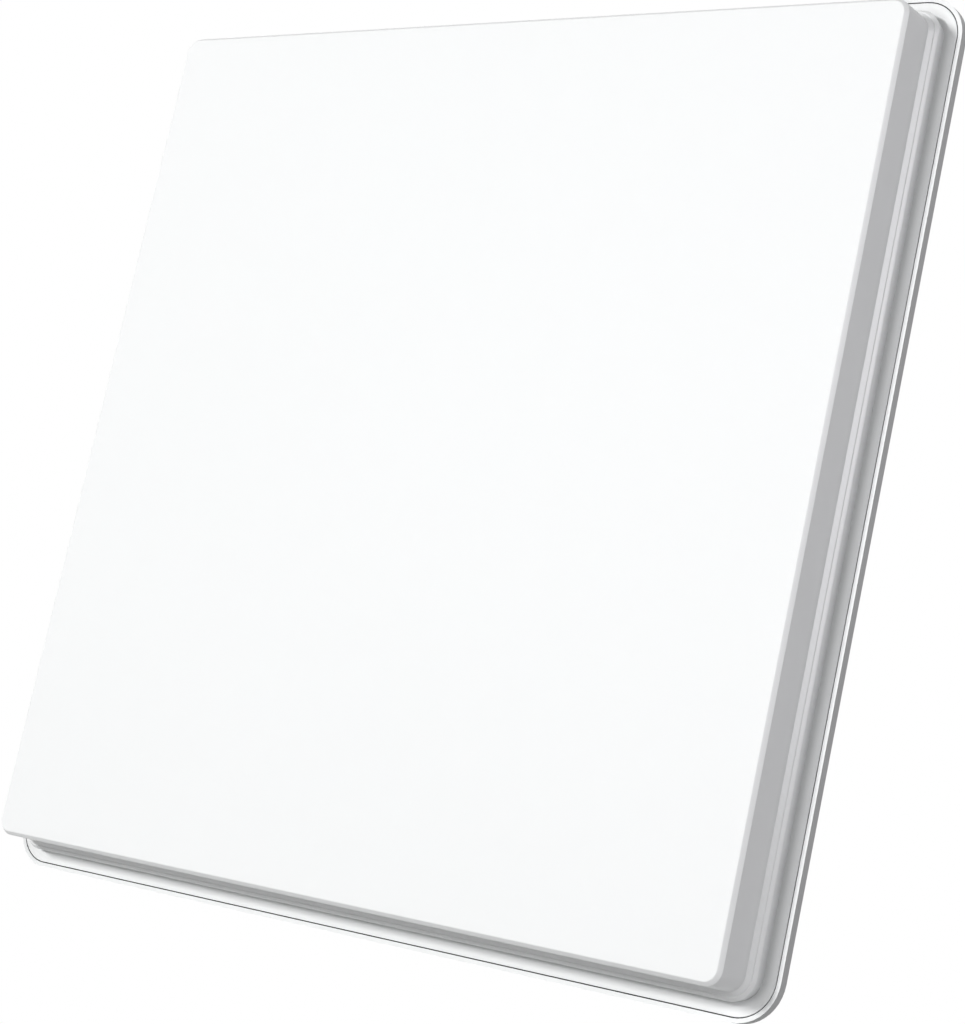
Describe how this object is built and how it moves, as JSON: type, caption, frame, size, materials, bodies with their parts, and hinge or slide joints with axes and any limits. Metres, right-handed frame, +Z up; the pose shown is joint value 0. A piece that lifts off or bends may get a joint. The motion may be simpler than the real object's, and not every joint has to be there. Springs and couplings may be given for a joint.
{
  "type": "flat satellite antenna",
  "caption": "Square flat-panel satellite antenna: moulded radome with a stepped edge over a tray that holds a horn array, feed plates and converter, with a rear bracket pad and coaxial output.",
  "frame": {"origin": "centre of the bracket bolt pattern, on the plane of the rear pad", "axes": "+X to the right as the radome is faced, +Y towards the rear, +Z up in use"},
  "size_m": [0.548, 0.058, 0.548],
  "materials": {
    "radome_plastic": "fine-grained white moulding",
    "housing_plastic": "fine-grained white moulding",
    "rubber": "soft black seal",
    "steel": "stainless screw",
    "foam": "closed-cell foam sheet",
    "metallised": "metal-coated moulding",
    "gasket": "conductive elastomer",
    "cast_alloy": "die casting",
    "board": "solder-masked laminate",
    "brass": "turned brass",
    "plated": "nickel-plated",
    "insulator": "natural white plastic"
  },
  "bodies": {
    "root": {"radome": "radome_plastic", "rear_housing": "housing_plastic", "rim_seal": "rubber", "housing_screws": "steel", "front_foam": "foam", "horn_plate": "metallised", "feed_plate_front": "metallised", "feed_plate_rear": "metallised", "port_gasket": "gasket", "lnb_body": "cast_alloy", "lnb_board": "board", "launch_probes": "brass", "lnb_lid_seal": "rubber", "lnb_lid": "cast_alloy", "lnb_screws": "steel", "f_connector": "plated", "connector_insulator": "insulator", "connector_contact": "brass", "connector_seal": "rubber", "connector_nut": "plated", "bracket_inserts": "brass"}
  },
  "joints": []
}
